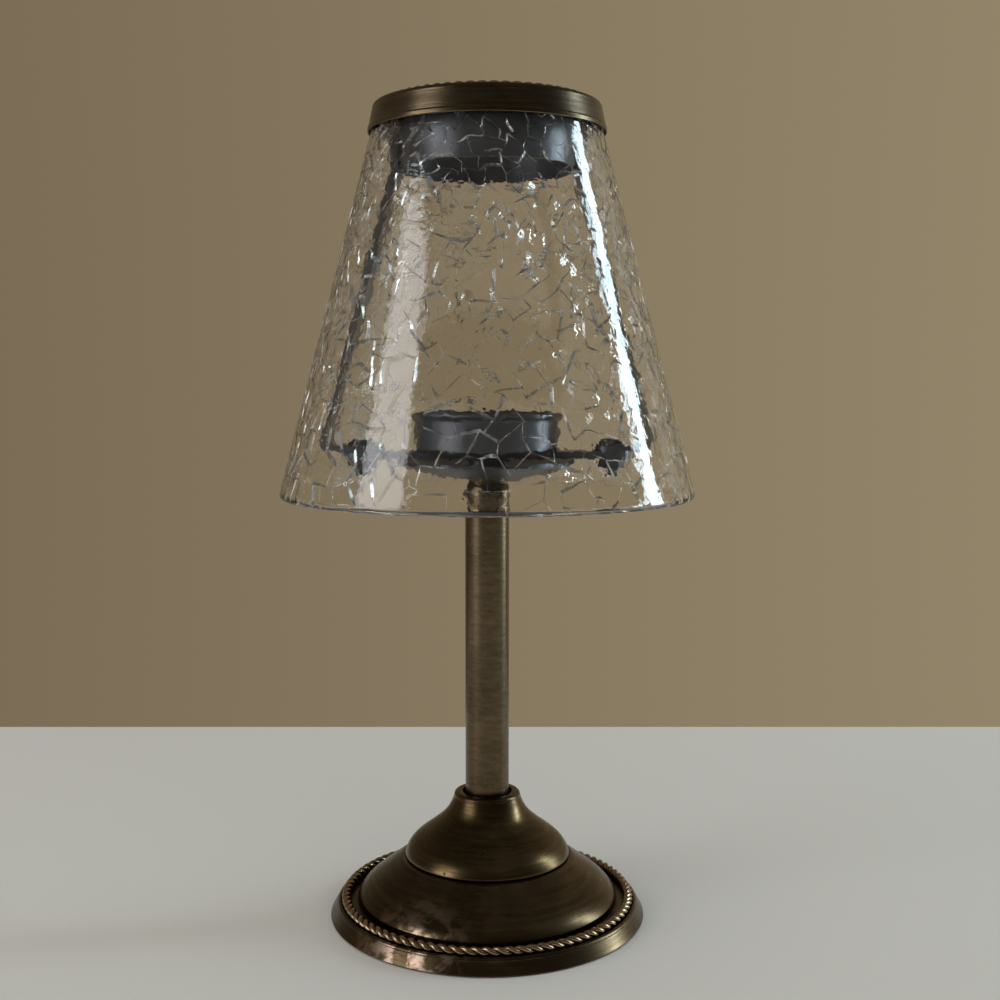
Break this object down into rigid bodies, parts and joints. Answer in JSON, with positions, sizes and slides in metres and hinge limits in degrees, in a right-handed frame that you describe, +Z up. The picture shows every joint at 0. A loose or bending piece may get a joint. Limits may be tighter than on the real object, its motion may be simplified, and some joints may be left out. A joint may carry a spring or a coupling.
{
  "type": "tea light holder",
  "caption": "Table lamp shaped tea light holder with a weighted brass foot, a slim stem, a strip frame round the candle cup and a lift-off crackle glass shade.",
  "frame": {"origin": "middle of the underside, on the surface that the holder stands on", "axes": "+Z up along the stem, X through the two uprights of the frame"},
  "size_m": [0.126, 0.126, 0.2481],
  "materials": {
    "antique_brass": "brushed antique brass with dark patina in the grooves",
    "dark_frame": "satin black",
    "steel": "plain zinc plated",
    "weight_iron": "rough cast",
    "felt": "pressed felt",
    "cement": "matt plaster",
    "crackle_glass": "clear crackle glass with a faint warm tint"
  },
  "bodies": {
    "stand": {"base_shell": "antique_brass", "base_rope": "antique_brass", "base_weight": "weight_iron", "felt_pad": "felt", "rod_washer": "steel", "rod_nut": "steel", "tie_rod": "steel", "upper_bell": "antique_brass", "stem_tube": "antique_brass", "top_socket": "antique_brass", "drip_dish": "dark_frame", "frame_hub": "dark_frame", "cross_strap": "dark_frame", "left_upright": "dark_frame", "right_upright": "dark_frame", "arm_screws": "dark_frame", "arm_nuts": "dark_frame", "frame_ring": "dark_frame", "ring_rivets": "dark_frame", "candle_cup": "dark_frame", "cup_screw": "steel"},
    "shade": {"cap_ring": "antique_brass", "cap_rope": "antique_brass", "glass_cement": "cement", "glass_shade": "crackle_glass"}
  },
  "joints": [
    {"name": "shade_lift", "type": "slide", "parent": "stand", "child": "shade", "axis": [0, 0, 1], "range_m": [0, 0.12]}
  ]
}
